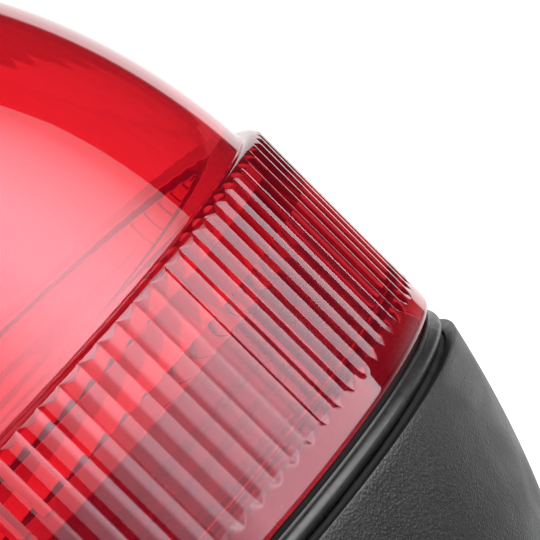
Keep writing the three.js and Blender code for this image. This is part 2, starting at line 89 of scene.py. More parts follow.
LENS_R = 70.0  # crests of the flutes, shoulder and flange
DOME_R = 67.5  # the dome is the top of an ellipsoid
DOME_H = 81.2
DOME_SINK = 5.4  # its centre to the foot of the dome
DOME_WALL = 1.7
DOME_Z = DOME_TOP - DOME_H
CREASE_Z = DOME_Z + DOME_SINK
FLUTES = 105
FLUTE_DEPTH = 0.35
FLUTE_FOOT = FLANGE_Z + 3.9
FLUTE_RAMP = 1.4  # height over which the flutes run out into the flange
FLANGE_EDGE = 0.8
SHOULDER_R = 1.9
LENS_BORE_R = 67.3
LENS_STEP_Z = FLANGE_Z + 25
LENS_UPPER_R = 66.4
LENS_THREAD_H = 0.5

THREAD_PITCH = 3.9
THREAD_ROOT_R = 65.8
THREAD_CREST_R = 66.9
THREAD_START = -220  # degrees about Z
COLLAR_THREAD_Z = FLANGE_Z + 2.9
COLLAR_TURNS = 4
LENS_THREAD_Z = COLLAR_THREAD_Z + THREAD_PITCH / 2

STEEL_T = 4.0
FOOT_R = 26.0
FOOT_H = 8.0
CAVITY_Z = FOOT_Z + 12
WELL_Z = REFLECTOR_Z - 2.2
WELL_R = 49.6

COARSE = 4  # every this many steps across the flutes is one step of the lens's smooth rings

# ---------------------------------------------------------------- mesh building


def across_flutes():
    """Angles round the lens from the camera's side, closer together beside each groove."""
    shares = [0, 0.018, 0.055, 0.14, 0.27, 0.39]
    shares += [0.5] + [1 - s for s in reversed(shares[1:])]
    return [2 * pi * (i + 0.5 + s) / FLUTES - pi / 2 for i in range(FLUTES) for s in shares]


def even(count):
    """Angles of a whole turn in equal steps."""
    return [2 * pi * i / count for i in range(count)]


def loop(bm, angles, radius, z):
    """A closed ring of vertices. Radius and z are numbers, or functions of the angle."""
    made = []
    for a in angles:
        r = radius(a) if callable(radius) else radius
        height = z(a) if callable(z) else z
        made.append(bm.verts.new((r * cos(a), r * sin(a), height)))
    return made


def pole(bm, z):
    return [bm.verts.new((0, 0, z))]


def bridge(bm, low, high):
    """Faces between two rings. One ring may be a pole, or have a multiple of the other's vertices."""
    if len(low) < len(high):
        low, high = high, low
    steps = max(1, len(low) // len(high))
    for i in range(0, len(low), steps if len(high) > 1 else 1):
        if len(high) == 1:
            bm.faces.new((low[i], low[(i + 1) % len(low)], high[0]))
            continue
        fan = [low[(i + s) % len(low)] for s in range(steps + 1)]
        j = i // steps
        bm.faces.new(fan + [high[(j + 1) % len(high)], high[j]])


def stack(bm, rings, closed=False):
    """Faces between each ring and the next."""
    pairs = list(zip(rings, rings[1:]))
    if closed:
        pairs.append((rings[-1], rings[0]))
    for low, high in pairs:
        bridge(bm, low, high)


def rounded(points, steps=3):
    """An outline of (x, y) or (x, y, fillet) points, with each fillet as a short curve."""
    made = []
    count = len(points)
    for i, point in enumerate(points):
        here = Vector(point[:2])
        if len(point) < 3:
            made.append(here)
            continue
        before = Vector(points[i - 1][:2]) - here
        after = Vector(points[(i + 1) % count][:2]) - here
        reach = point[2] / math.tan(before.angle(after) / 2)
        start = here + before.normalized() * min(reach, before.length * 0.49)
        end = here + after.normalized() * min(reach, after.length * 0.49)
        for s in range(steps + 1):
            t = s / steps
            made.append(start * (1 - t) ** 2 + here * 2 * t * (1 - t) + end * t * t)
    return [(p.x, p.y) for p in made]


def arc(radius, centre_z, start, end, steps):
    """Points (r, z) of a circle centred on the axis, from one elevation in degrees to another."""
    turns = [radians(start + (end - start) * i / steps) for i in range(steps + 1)]
    return [(radius * cos(a), centre_z + radius * sin(a)) for a in turns]


def bezier(points, steps):
    """Points of a cubic curve, both ends included."""
    a, b, c, d = (Vector(p) for p in points)
    made = []
    for i in range(steps + 1):
        t = i / steps
        u = 1 - t
        made.append(a * u**3 + b * 3 * u * u * t + c * 3 * u * t * t + d * t**3)
    return [(p.x, p.y) for p in made]


def turned(profile, count=128, shape=None):
    """A solid of revolution about Z. A profile that leaves the axis out is closed on itself.

    shape(radius, angle) changes the radius, for a form that isn't round.
    """
    bm = bmesh.new()
    angles = even(count)
    rings = []
    for r, z in profile:
        if r < 1e-6:
            rings.append(pole(bm, z))
            continue
        outline = (lambda a, r=r: shape(r, a)) if shape else r
        rings.append(loop(bm, angles, outline, z))
    on_axis = len(rings[0]) == 1 and len(rings[-1]) == 1
    stack(bm, rings, closed=not on_axis)
    return bm


def washer(inner, outer, z0, z1, fillet, count=96):
    corners = [(inner, z0), (outer, z0), (outer, z1), (inner, z1)]
    return turned(rounded([(r, z, fillet) for r, z in corners]), count)


def disc(radius, z0, z1, fillet, count=96):
    edge = rounded([(0, z0), (radius, z0, fillet), (radius, z1, fillet), (0, z1)])
    return turned(edge, count)


def hexagon(radius, angle):
    """Distance to the side of a hexagon, from a radius given across its corners."""
    return radius * cos(pi / 6) / cos((angle % (pi / 3)) - pi / 6)


def hex_prism(across, z0, z1, chamfer, bore=0.0):
    """A hexagonal head or nut whose corners are turned off at both ends."""
    flat = across * cos(pi / 6) * 0.985
    levels = [(flat, z0), (across, z0 + chamfer), (across, z1 - chamfer), (flat, z1)]
    profile = levels + [(bore, z1), (bore, z0)] if bore else [(0, z0)] + levels + [(0, z1)]

    def shape(r, a):
        if r == bore:
            return r
        return min(r, hexagon(across, a)) if r < across else hexagon(across, a)

    return turned(profile, 96, shape)


def prism(outline, z0, z1):
    """A straight solid between two levels, from a closed (x, y) outline."""
    bm = bmesh.new()
    ends = [[bm.verts.new((x, y, z)) for x, y in outline] for z in (z0, z1)]
    bridge(bm, *ends)
    for end in ends:
        bm.faces.new(end)
    return bm


def turn_to(axis, place):
    """A matrix that lays +Z along an axis and then moves to a place in millimetres."""
    turn = Vector((0, 0, 1)).rotation_difference(Vector(axis)).to_matrix().to_4x4()
    return Matrix.Translation(place) @ turn


# ---------------------------------------------------------------- screw threads

# Height along the thread's axis and share of the ridge's height, either side of its middle.
RIDGE = [(0.5, 0.0), (0.24, 0.0), (0.2, 0.06), (0.15, 0.3), (0.1, 0.66), (0.05, 0.93), (0.0, 1.0)]
RIDGE = [(-z, h) for z, h in RIDGE] + [(z, h) for z, h in reversed(RIDGE[:-1])]


def threaded_wall(bm, angles, wall, height, pitch, columns, z0, first, low, high):
    """The wall between the rings low and high, with a right-handed ridge that fades out at both ends."""
    count = len(angles)
    fade = count / 12
    grid = []
    for c in range(columns + 1):
        i = first + c
        a = angles[i % count]
        turned_by = a - angles[first] + 2 * pi * (i // count)
        middle = z0 + pitch * turned_by / (2 * pi)
        share = min(1.0, c / fade, (columns - c) / fade)
        share = share * share * (3 - 2 * share)
        column = [grid[c - count][-1]] if c >= count else []
        for dz, h in RIDGE[len(column):]:
            r = wall + height * h * share
            column.append(bm.verts.new((r * cos(a), r * sin(a), middle + dz * pitch)))
        grid.append(column)
    for left, right in zip(grid, grid[1:]):
        for m in range(len(RIDGE) - 1):
            bm.faces.new((left[m], right[m], right[m + 1], left[m + 1]))

    def at(ring, c):
        return ring[(first + c) % count]

    for c in range(count - 1):
        bm.faces.new((at(low, c), at(low, c + 1), grid[c + 1][0], grid[c][0]))
    bm.faces.new([at(low, count - 1), at(low, count)] + grid[0] + [grid[count - 1][0]])
    start = columns - count
    corner = [grid[start][-1], grid[start + 1][-1], at(high, start + 1), at(high, start)]
    bm.faces.new(corner + grid[columns][:0:-1])
    for c in range(start + 1, columns):
        bm.faces.new((grid[c][-1], grid[c + 1][-1], at(high, c + 1), at(high, c)))


# ---------------------------------------------------------------- shader nodes


def connect(tree, socket, value):
    """Links an output to an input, or sets the input to a value. A colour may leave its alpha out."""
    if isinstance(value, bpy.types.NodeSocket):
        tree.links.new(value, socket)
        return
    if isinstance(value, (tuple, list)) and len(value) == 3 and socket.type == "RGBA":
        value = (*value, 1.0)
    socket.default_value = value


def add_node(tree, kind, inputs=(), **settings):
    """A shader node with its settings and inputs."""
    made = tree.nodes.new("ShaderNode" + kind)
    for key, value in settings.items():
        setattr(made, key, value)
    for key, value in dict(inputs).items():
        connect(tree, made.inputs[key], value)
    return made


class Graph:
    """A Principled material and the nodes that feed it, in the piece's own coordinates."""

    def __init__(self, name, **constants):
        self.material = bpy.data.materials.new(name)
        self.material.use_nodes = True
        self.tree = self.material.node_tree
        self.shader = self.tree.nodes["Principled BSDF"]
        self.place = self.node("TexCoord").outputs["Object"]
        for socket, value in constants.items():
            self.set(socket.replace("_", " "), value)

    def set(self, socket, value):
        connect(self.tree, self.shader.inputs[socket], value)

    def node(self, kind, inputs=(), **settings):
        return add_node(self.tree, kind, inputs, **settings)

    def stretched(self, x, y, z):
        """The piece's coordinates, longer or shorter along each axis."""
        inputs = {"Vector": self.place, "Scale": (x, y, z)}
        return self.node("Mapping", inputs).outputs["Vector"]

    def noise(self, size, detail=2.0, distortion=0.0, place=None):
        """Noise from 0 to 1 whose features are about this many millimetres across."""
        inputs = {"Vector": place or self.place, "Scale": 1 / (size * MM), "Detail": detail}
        inputs["Distortion"] = distortion
        return self.node("TexNoise", inputs).outputs["Fac"]

    def cells(self, size, output="Distance", feature="F1", place=None):
        inputs = {"Vector": place or self.place, "Scale": 1 / (size * MM)}
        return self.node("TexVoronoi", inputs, feature=feature).outputs[output]

    def level(self, value, low, high, start=0.35, end=0.65):
        """Maps start..end of a value to low..high."""
        inputs = {"Value": value, "From Min": start, "From Max": end, "To Min": low, "To Max": high}
        return self.node("MapRange", inputs).outputs["Result"]

    def mix(self, factor, first, second):
        """A colour between two others."""
        return self.node("Mix", {0: factor, 6: first, 7: second}, data_type="RGBA").outputs[2]

    def sum(self, first, second):
        return self.node("Math", {0: first, 1: second}, operation="ADD").outputs[0]

    def bump(self, height, depth, under=None):
        """Relief of this many millimetres, on top of other relief."""
        inputs = {"Height": height, "Distance": depth * MM, "Strength": 1.0}
        if under is not None:
            inputs["Normal"] = under
        return self.node("Bump", inputs).outputs["Normal"]

    def axis(self, index):
        return self.node("SeparateXYZ", {"Vector": self.place}).outputs[index]


def red_lens():
    """Clear red plastic, tinted at its surface and through its depth, with a faint painted red glow
    (emission) that stands in for light scattered in it, and painted shade: a darker red over the top of the
    dome.
    """
    # The emission is a painted glow: the lens gives off faint red light of its own, standing in for light
    # scattered in the plastic, so its shaded parts stay red.
    g = Graph("red_lens", IOR=1.49, Transmission_Weight=1.0, Emission_Strength=0.07)
    g.set("Emission Color", (1.0, 0.0, 0.06))
    g.set("Specular Tint", (1.0, 0.86, 0.98))
    flow = g.noise(22, 2, 0.6)
    clear = g.mix(g.level(flow, 0, 1), (1.0, 0.215, 0.235), (1.0, 0.240, 0.260))
    # Painted shade: the base colour turns a deeper red above this height on the dome, where the backdrop
    # seen through the lens is darker.
    painted_shade_top = g.level(g.axis(2), 0, 1, (CREASE_Z + 36) * MM, (CREASE_Z + 46) * MM)
    g.set("Base Color", g.mix(painted_shade_top, clear, (0.84, 0.090, 0.150)))
    g.set("Roughness", g.level(g.noise(3, 3), 0.008, 0.03))
    g.set("Normal", g.bump(g.noise(9, 1), 0.012))
    tint = g.node("VolumeAbsorption", {"Color": (0.62, 0.0, 0.1), "Density": 380})
    connect(g.tree, g.tree.nodes["Material Output"].inputs["Volume"], tint.outputs[0])
    return g.material


def grained_black():
    """Moulded black plastic with a leathery grain, whose cells are bent by a slower swirl."""
    g = Graph("grained_black", Specular_IOR_Level=0.36)
    swirl = g.node("TexNoise", {"Vector": g.place, "Scale": 1 / (0.9 * MM), "Detail": 1.0})
    offset = g.node("VectorMath", {0: swirl.outputs["Color"], "Scale": 0.35 * MM}, operation="SCALE")
    bent = g.node("VectorMath", {0: g.place, 1: offset.outputs[0]}, operation="ADD")
    leather = g.cells(0.38, feature="SMOOTH_F1", place=bent.outputs[0])
    worn = g.level(leather, 0, 1, 0.1, 0.6)
    g.set("Base Color", g.mix(worn, (0.009, 0.009, 0.0095), (0.004, 0.004, 0.0045)))
    g.set("Roughness", g.level(g.noise(9, 3, 0.5), 0.34, 0.46))
    fine = g.bump(g.noise(0.18, 3, 0.4), 0.035)
    g.set("Normal", g.bump(leather, 0.095, fine))
    return g.material


def satin_black():
    g = Graph("satin_black", Specular_IOR_Level=0.36)
    cloud = g.noise(6, 3, 0.3)
    g.set("Base Color", g.mix(g.level(cloud, 0, 1), (0.005, 0.005, 0.0055), (0.009, 0.009, 0.0095)))
    g.set("Roughness", g.level(g.noise(1.4, 4), 0.27, 0.4))
    fine = g.bump(g.noise(0.25, 2), 0.006)
    g.set("Normal", g.bump(g.noise(2.5, 2), 0.012, fine))
    return g.material


def rubber():
    g = Graph("rubber", Specular_IOR_Level=0.12)
    bloom = g.noise(4, 4, 0.8)
    g.set("Base Color", g.mix(g.level(bloom, 0, 1), (0.004, 0.004, 0.0045), (0.008, 0.008, 0.0085)))
    g.set("Roughness", g.level(bloom, 0.62, 0.85))
    g.set("Normal", g.bump(g.noise(0.35, 3), 0.03))
    return g.material


def white_plastic():
    g = Graph("white_plastic", Specular_IOR_Level=0.5)
    cloud = g.noise(11, 3)
    g.set("Base Color", g.mix(g.level(cloud, 0, 1), (0.84, 0.84, 0.82), (0.80, 0.80, 0.79)))
    g.set("Roughness", g.level(g.noise(2, 3), 0.28, 0.42))
    g.set("Normal", g.bump(g.noise(1.2, 2), 0.008))
    return g.material


def zinc():
    g = Graph("zinc", Metallic=1.0)
    stain = g.noise(3.5, 4, 0.7)
    g.set("Base Color", g.mix(g.level(stain, 0, 1), (0.60, 0.62, 0.66), (0.70, 0.68, 0.60)))
    wear = g.noise(0.5, 3)
    g.set("Roughness", g.level(wear, 0.22, 0.42))
    g.set("Normal", g.bump(g.noise(0.3, 2, place=g.stretched(1, 1, 6)), 0.008))
    return g.material


def bracket_steel():
    g = Graph("bracket_steel", Metallic=1.0)
    spangle = g.cells(7, "Color")
    tone = g.node("SeparateColor", {"Color": spangle}).outputs[0]
    frost = g.noise(0.8, 4, 0.5)
    light = g.mix(g.level(tone, 0, 1, 0, 1), (0.43, 0.45, 0.47), (0.58, 0.60, 0.62))
    dull = g.level(g.noise(14, 4, 0.6), 0, 0.5, 0.5, 0.75)
    g.set("Base Color", g.mix(dull, light, (0.50, 0.50, 0.49)))
    spread = g.sum(g.level(tone, 0.28, 0.42, 0, 1), g.level(frost, -0.04, 0.08))
    g.set("Roughness", spread)
    brushed = g.noise(0.35, 3, place=g.stretched(1, 0.05, 1))
    g.set("Normal", g.bump(frost, 0.01, g.bump(brushed, 0.006)))
    return g.material


def led_epoxy():
    g = Graph("led_epoxy", IOR=1.5, Transmission_Weight=0.55, Coat_Weight=0.6)
    phosphor = g.noise(0.7, 3)
    g.set("Base Color", g.mix(g.level(phosphor, 0, 1), (0.95, 0.80, 0.35), (0.90, 0.62, 0.16)))
    g.set("Roughness", g.level(phosphor, 0.12, 0.3))
    return g.material


def circuit_board():
    g = Graph("circuit_board", Coat_Weight=0.3)
    track = g.node("TexBrick", {"Vector": g.place, "Scale": 120.0, "Mortar Size": 0.06})
    copper = g.level(track.outputs["Fac"], 0, 1, 0.4, 0.6)
    g.set("Base Color", g.mix(copper, (0.012, 0.12, 0.045), (0.05, 0.27, 0.10)))
    g.set("Roughness", g.level(g.noise(1.5, 3), 0.3, 0.45))
    g.set("Normal", g.bump(copper, 0.04))
    return g.material


def amber_plastic():
    g = Graph("amber_plastic", Coat_Weight=0.5)
    track = g.node("TexWave", {"Vector": g.place, "Scale": 260.0, "Distortion": 3.0})
    line = g.level(track.outputs["Fac"], 0, 1, 0.45, 0.6)
    g.set("Base Color", g.mix(line, (0.75, 0.36, 0.06), (0.32, 0.07, 0.02)))
    g.set("Roughness", g.level(g.noise(0.8, 2), 0.2, 0.35))
    return g.material


def cell_sleeve():
    g = Graph("cell_sleeve", Metallic=0.35)
    height = g.axis(2)
    band_z = span("d_cell_1")[1][2] - 16
    band = g.level(height, 0, 1, (band_z - 0.2) * MM, (band_z + 0.2) * MM)
    scuff = g.noise(2.5, 4, 0.4)
    dark = g.mix(g.level(scuff, 0, 1), (0.020, 0.022, 0.026), (0.045, 0.047, 0.052))
    g.set("Base Color", g.mix(band, dark, (0.62, 0.33, 0.14)))
    g.set("Roughness", g.level(scuff, 0.22, 0.4))
    return g.material


def brass():
    g = Graph("brass", Metallic=1.0)
    tarnish = g.noise(2.5, 4, 0.5)
    g.set("Base Color", g.mix(g.level(tarnish, 0, 1), (0.72, 0.52, 0.22), (0.50, 0.36, 0.16)))
    g.set("Roughness", g.level(tarnish, 0.24, 0.45))
    g.set("Normal", g.bump(g.noise(0.3, 2), 0.006))
    return g.material


MAKERS = [red_lens, grained_black, satin_black, rubber, white_plastic, zinc]
MAKERS += [bracket_steel, led_epoxy, circuit_board, amber_plastic, cell_sleeve, brass]
MATERIALS = {maker.__name__: maker() for maker in MAKERS}

# ---------------------------------------------------------------- pieces

SHARP = radians(38)


def mesh_of(name, bm, matrix=None):
    """Writes a mesh in metres, with its faces pointing out and its smooth parts shaded smooth."""
    wide = [f for f in bm.faces if len(f.verts) > 4]
    bmesh.ops.triangulate(bm, faces=wide)
    bmesh.ops.recalc_face_normals(bm, faces=bm.faces)
    if matrix is not None:
        bm.transform(matrix)
    bm.transform(Matrix.Scale(MM, 4))
    mesh = bpy.data.meshes.new(name)
    bm.to_mesh(mesh)
    bm.free()
    mesh.shade_smooth()
    mesh.set_sharp_from_angle(angle=SHARP)
    return mesh


def piece(name, bm, node, matrix=None):
    """A finished piece that stands for a CAD node, on that node's body and in its finish."""
    made = bpy.data.objects.new(name, mesh_of(name, bm, matrix))
    bpy.context.scene.collection.objects.link(made)
    made.data.materials.append(MATERIALS[SLOT_OF[node]])
    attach(made, BODY_OF[node])
    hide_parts(node)
    return made


def applied(target):
    """Makes a piece's modifiers part of its mesh."""
    graph = bpy.context.evaluated_depsgraph_get()
    mesh = bpy.data.meshes.new_from_object(target.evaluated_get(graph))
    target.modifiers.clear()
    target.data = mesh
    mesh.shade_smooth()
    mesh.set_sharp_from_angle(angle=SHARP)


def carve(target, operation, bm, matrix=None):
    """Joins or cuts a piece with another solid."""
    tool = bpy.data.objects.new("tool", mesh_of("tool", bm, matrix))
    bpy.context.scene.collection.objects.link(tool)
    modifier = target.modifiers.new("join", "BOOLEAN")
    modifier.operation = operation
    modifier.solver = "EXACT"
    modifier.object = tool
    applied(target)
    bpy.data.objects.remove(tool)


def softened(target, width):
    """Rounds a piece's sharp edges."""
    bevel = target.modifiers.new("edges", "BEVEL")
    bevel.width = width * MM
    bevel.segments = 2
    bevel.limit_method = "ANGLE"
    bevel.angle_limit = SHARP
    applied(target)


# ---------------------------------------------------------------- lens


CURVE_STEPS = 7  # straight steps of the flange's edge, the flutes' run-out and the shoulder
RAMP_END = FLUTE_FOOT + FLUTE_RAMP + 0.4


def flute_depth(angle):
    """How far a flute has fallen at an angle: 0 on its crest, and slightly blunt in the groove."""
    u = ((angle + pi / 2) * FLUTES / (2 * pi) - 0.5) % 1
    blunt = 0.05 * max(0.0, 1 - min(u, 1 - u) / 0.02)
    return FLUTE_DEPTH * max(0.0, (2 * u - 1) ** 2 - blunt)


def lens_outside(bm, angles):
    """Rings from the flange's lower edge up to the shoulder, with the flutes between."""
    depth = {a: flute_depth(a) for a in angles}
    rings = [loop(bm, angles, r, z) for r, z in rounded_flange_edge()]
    rings.append(loop(bm, angles, LENS_R, FLUTE_FOOT - 0.5))
    rings += flute_run_out(bm, angles, depth)
    rings += flute_shafts(bm, angles, depth)
    return rings + shoulder(bm, angles, depth)


def rounded_flange_edge():
    inset = LENS_R - FLANGE_EDGE
    edge = arc(FLANGE_EDGE, FLANGE_Z + FLANGE_EDGE, -90, 0, CURVE_STEPS)
    return [(inset + r, z) for r, z in edge]


def flute_run_out(bm, angles, depth):
    """The grooves grow from nothing at the flange, the deepest of them lowest down."""
    rings = []

    def foot(a):
        return FLUTE_FOOT + FLUTE_RAMP * (1 - sqrt(depth[a] / FLUTE_DEPTH))

    for s in range(CURVE_STEPS + 1):
        t = (s / CURVE_STEPS) ** 1.3

        def height(a, t=t):
            return foot(a) * (1 - t) + RAMP_END * t

        def radius(a, height=height):
            short = max(0.0, 1 - (height(a) - FLUTE_FOOT) / FLUTE_RAMP)
            return LENS_R - max(0.0, depth[a] - FLUTE_DEPTH * short * short)

        rings.append(loop(bm, angles, radius, height))
    return rings


def flute_shafts(bm, angles, depth):
    """Rings near both ends of the straight grooves, which keep their shading straight between them."""

    def groove(a):
        return LENS_R - depth[a]

    def top(a):
        return CREASE_Z - SHOULDER_R * (1 - sin(acos(1 - depth[a] / SHOULDER_R))) - 0.12

    heights = (RAMP_END + 0.25, CREASE_Z - SHOULDER_R - 0.2, top)
    return [loop(bm, angles, groove, height) for height in heights]


def shoulder(bm, angles, depth):
    """The rounded corner above the flutes, which starts higher up where they are deeper."""
    rings = []
    for s in range(CURVE_STEPS + 1):

        def turn(a, s=s):
            first = acos(1 - depth[a] / SHOULDER_R)
            return first + (pi / 2 - first) * s / CURVE_STEPS

        def radius(a, turn=turn):
            return LENS_R - SHOULDER_R * (1 - cos(turn(a)))

        def height(a, turn=turn):
            return CREASE_Z - SHOULDER_R * (1 - sin(turn(a)))

        rings.append(loop(bm, angles, radius, height))
    return rings


def dome_curve(inset, first, last):
    """Points up or down the dome's ellipsoid, set inwards, between two angles in degrees."""
    radius, height = DOME_R - inset, DOME_H - inset
    return [(radius * r, DOME_Z + height * z) for r, z in arc(1, 0, first, last, 44)]


def dome_profile():
    """From the shoulder's flat over the dome to its pole, with a small fillet at the crease."""
    curve = dome_curve(0, 4.7, 90)[:-1]
    foot_r = curve[0][0]
    foot = [(foot_r + 0.7, CREASE_Z), (foot_r + 0.04, CREASE_Z, 0.4), curve[0]]
    return rounded(foot)[:-1] + curve


def lens_inside():
    """From the dome's inner pole down to the bore's step."""
    curve = dome_curve(DOME_WALL, 88, 4.2)
    step = [
        (LENS_UPPER_R, CREASE_Z - 1.6, 0.8),
        (LENS_UPPER_R, LENS_STEP_Z + 6, 2),
        (LENS_BORE_R, LENS_STEP_Z, 0.15),
        (LENS_BORE_R, LENS_STEP_Z - 2),
    ]
    return curve + rounded([curve[-1]] + step)[1:]


def lens_dome():
    """One closed moulding: fluted band, shoulder and dome outside, thread and bore inside."""
    bm = bmesh.new()
    fine = across_flutes()
    smooth = fine[::COARSE]
    outside = lens_outside(bm, fine)
    dome = [loop(bm, smooth, r, z) for r, z in dome_profile()]
    stack(bm, outside)
    bridge(bm, outside[-1], dome[0])
    stack(bm, dome + [pole(bm, DOME_TOP)])
    inside = [loop(bm, smooth, r, z) for r, z in lens_inside()]
    stack(bm, [pole(bm, DOME_TOP - DOME_WALL)] + inside)
    mouth = [(LENS_BORE_R, FLANGE_Z + 1), (LENS_BORE_R, FLANGE_Z, 0.3), (LENS_BORE_R + 1, FLANGE_Z)]
    below = [loop(bm, smooth, r, z) for r, z in rounded(mouth)]
    stack(bm, below)
    bridge(bm, outside[0], below[-1])
    count = len(smooth)
    first = round(count * ((THREAD_START + 90) % 360) / 360)
    place = (THREAD_PITCH, count, LENS_THREAD_Z, first, below[0], inside[-1])
    threaded_wall(bm, smooth, LENS_BORE_R, -LENS_THREAD_H, *place)
    piece("lens", bm, "lens_dome")


def collar():
    """The black ring that the lens screws onto, with a rounded bead under the lens's flange."""
    bm = bmesh.new()
    count = 288
    angles = even(count)
    bore = REFLECTOR_R + 0.4
    spigot_r, floor_r, ledge_r = 65.4, 50, 57
    lip_r, lip_z = 68.8, FLANGE_Z - 0.95
    seat_r, seat_z = 67.9, FLANGE_Z - 2.5
    ledge_z = REFLECTOR_Z - 2.1
    bead, bead_z = 1.3, FLANGE_Z - 2.6
    floor_middle = (floor_r, COLLAR_BOTTOM + 1.5)
    outer = [
        (floor_r, COLLAR_BOTTOM, 0.3),
        (spigot_r, COLLAR_BOTTOM, 0.5),
        (spigot_r, bead_z - bead, 0.2),
        *[(BEAD_OUT - bead + r, z) for r, z in arc(bead, bead_z, -90, 60, 10)],
        (lip_r - 0.02, lip_z - 0.5, 0.15),
        (lip_r, lip_z, 0.12),
        (seat_r, lip_z, 0.2),
        (seat_r, seat_z, 0.1),
        (THREAD_ROOT_R, seat_z, 0.2),
        (THREAD_ROOT_R, seat_z + 1),
    ]
    top = [
        (THREAD_ROOT_R, COLLAR_Z - 0.6),
        (THREAD_ROOT_R, COLLAR_Z, 0.35),
        (bore, COLLAR_Z, 0.35),
        (bore, ledge_z, 0.15),
        (ledge_r, ledge_z, 0.3),
        (ledge_r, ledge_z - 3.6, 0.3),
        (bore, ledge_z - 6.6, 0.5),
        (bore, COLLAR_BOTTOM + 3, 0.5),
        (floor_r, COLLAR_BOTTOM + 3, 0.3),
        floor_middle,
    ]
    outside = [loop(bm, angles, r, z) for r, z in rounded([floor_middle] + outer)]
    inside = [loop(bm, angles, r, z) for r, z in rounded(top)]
    stack(bm, outside)
    stack(bm, inside[:-1])
    bridge(bm, inside[-2], outside[0])
    bmesh.ops.delete(bm, geom=inside[-1], context="VERTS")
    first = round(count * (THREAD_START % 360) / 360)
    height = THREAD_CREST_R - THREAD_ROOT_R
    place = (THREAD_PITCH, COLLAR_TURNS * count, COLLAR_THREAD_Z, first, outside[-1], inside[0])
    threaded_wall(bm, angles, THREAD_ROOT_R, height, *place)
    piece("threaded_collar", bm, "collar")


def seals():
    """Round-edged rubber rings under the lens and under the collar."""
    for node, width, edge in (("lens_seal", 0.6, 0.25), ("housing_seal", 1.1, 0.5)):
        low, high = span(node)
        ring = washer(high[0] - width, high[0], low[2], high[2], edge, 192)
        piece(node + "_ring", ring, node)


# ---------------------------------------------------------------- housing and switch

(_, BEZEL_BACK, BEZEL_LOW), (_, BEZEL_FRONT, BEZEL_HIGH) = span("switch_bezel")
SWITCH_Z = (BEZEL_LOW + BEZEL_HIGH) / 2
SWITCH_FACE = BEZEL_BACK - 0.3
TO_SWITCH = turn_to((0, 1, 0), (0, 0, SWITCH_Z))


def housing():
    """A bowl on a round foot, with a flat boss for the switch."""
    mouth_r, rebate_r, rebate_z = 67.3, 68.3, RIM_Z - 1.5
    outer = [(FOOT_R, FOOT_Z + FOOT_H), (52, RIM_Z - 58), (65, RIM_Z - 24), (HOUSING_R, RIM_Z - 0.3)]
    inner = [(22, CAVITY_Z), (49, RIM_Z - 54.5), (61.8, RIM_Z - 24), (mouth_r, rebate_z)]
    foot = rounded([(0, FOOT_Z), (FOOT_R, FOOT_Z, 0.8), (FOOT_R, FOOT_Z + FOOT_H)])[:-1]
    rim = [
        (HOUSING_R, RIM_Z - 0.3),
        (HOUSING_R - 0.02, RIM_Z, 0.2),
        (rebate_r, RIM_Z, 0.15),
        (rebate_r, rebate_z, 0.1),
        (mouth_r, rebate_z),
    ]
    bowl = bezier(outer, 48)
    cavity = bezier(inner, 32)[::-1]
    shell = foot + bowl + rounded(rim)[1:-1] + cavity + [(0, CAVITY_Z)]
    made = piece("housing_bowl", turned(shell, 240), "housing")
    boss = [(0, 58), (15, 58), (12.6, 62.5), (12, 65), (12, SWITCH_FACE, 0.5), (0, SWITCH_FACE)]
    carve(made, "UNION", turned(rounded(boss), 96), TO_SWITCH)
    carve(made, "DIFFERENCE", disc(8.3, 45, 75, 0.1, 64), TO_SWITCH)


def switch():
    """A knurled bezel ring and a button with a dished face."""
    face, top = BEZEL_BACK, BEZEL_FRONT
    ring = rounded([(6.6, face, 0.1), (10.5, face, 0.2), (10.5, top, 0.7), (6.6, top, 0.4)])

    def knurled(r, a):
        return r - 0.22 * max(0.0, cos(a * 36)) if r > 10 else r

    piece("switch_bezel_ring", turned(ring, 288, knurled), "switch_bezel", TO_SWITCH)
    low, high = span("switch_button")
    button = [
        (0, low[1]),
        (6.1, low[1], 0.2),
        (6.1, high[1] - 0.9, 0.9),
        (4.4, high[1] - 0.1, 0.2),
        (4.1, high[1] - 0.45, 0.2),
        (3.6, high[1] - 0.4, 0.2),
        (0, high[1] - 0.1),
    ]
    piece("switch_button_cap", turned(rounded(button), 96), "switch_button", TO_SWITCH)


# ---------------------------------------------------------------- inside the lens


def reflector():
    """A bright dish round the column's well, and the dark liner round its rim."""
    well_outer = WELL_R + 1.8
    profile = [
        (3.5, REFLECTOR_BOTTOM, 0.2),
        (well_outer, REFLECTOR_BOTTOM, 0.8),
        (well_outer, REFLECTOR_Z - 1.8, 0.4),
        (REFLECTOR_R, REFLECTOR_Z - 1.8, 0.3),
        (REFLECTOR_R, REFLECTOR_Z, 0.3),
        (WELL_R, REFLECTOR_Z, 0.4),
        (WELL_R, WELL_Z, 0.4),
        (3.5, WELL_Z, 0.2),
    ]
    piece("reflector_dish", turned(rounded(profile), 240), "reflector")
    low, high = span("reflector_liner")
    ring = washer(high[0] - 1.2, high[0], low[2], high[2], 0.25, 240)
    piece("reflector_liner_ring", ring, "reflector_liner")


COLUMN_R = 7.0  # across the corners of the hexagonal post


def light_column():
    """A hexagonal post on a round stem, under a low domed cap."""
    (_, _, foot), (_, _, top) = span("light_column")
    stem_r = 3
    base = WELL_Z + 0.3
    profile = [(0, foot), (stem_r, foot), (stem_r, base), (COLUMN_R - 0.2, base), (COLUMN_R, base + 0.3)]
    profile += [(COLUMN_R, top - 0.3), (COLUMN_R - 0.2, top), (0, top)]

    def shape(r, a):
        return hexagon(r, a + pi / 6) if r > stem_r else r

    piece("light_column_post", turned(profile, 96, shape), "light_column")
    (_, _, z0), (_, _, z1) = span("column_cap")
    cap = [(0, z0), (9, z0, 0.2), (9, z0 + 1, 0.3), (7.6, z0 + 1.7, 0.2), (3, z0 + 4, 1.0), (0, z1)]
    piece("column_cap_dome", turned(rounded(cap), 96), "column_cap")


